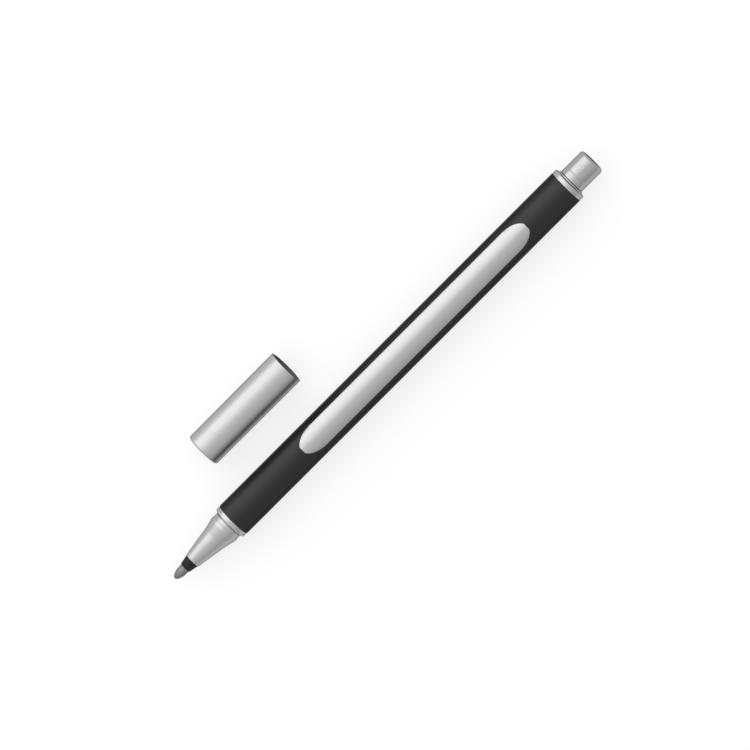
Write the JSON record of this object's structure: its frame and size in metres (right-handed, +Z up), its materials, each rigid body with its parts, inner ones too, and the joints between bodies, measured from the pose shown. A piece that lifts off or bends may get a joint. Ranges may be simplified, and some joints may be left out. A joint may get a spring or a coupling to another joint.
{
  "type": "metallic marker",
  "caption": "Slim metallic-ink marker: fibre bullet nib, silver cone, black soft-touch barrel with long silver panels, and a pulled-off silver cap beside it.",
  "frame": {"origin": "centre of the pen and cap together, on the surface that they lie on", "axes": "+X along the pen from its nib towards its rear end, +Y from the pen towards the cap beside it, +Z up"},
  "size_m": [0.155, 0.0286, 0.0102],
  "materials": {
    "silver_plastic": "satin silver metallic lacquer",
    "soft_black": "matt soft-touch skin",
    "black_plastic": "moulded, fine satin",
    "nib_fibre": "pressed fibre soaked with metallic ink",
    "reservoir_fibre": "bundled fibre holding ink",
    "film": "thin smooth film",
    "liner_plastic": "moulded, dark grey"
  },
  "bodies": {
    "pen": {"nib": "nib_fibre", "nib_holder": "black_plastic", "front_section": "silver_plastic", "barrel_core": "silver_plastic", "barrel_sleeve": "soft_black", "ink_reservoir": "reservoir_fibre", "reservoir_film": "film", "rear_plug": "silver_plastic"},
    "cap": {"cap_shell": "silver_plastic", "cap_liner": "liner_plastic"}
  },
  "joints": [
    {"name": "cap_slide", "type": "slide", "parent": "pen", "child": "cap", "axis": [-1, 0, 0], "range_m": [0, 0.065]}
  ]
}
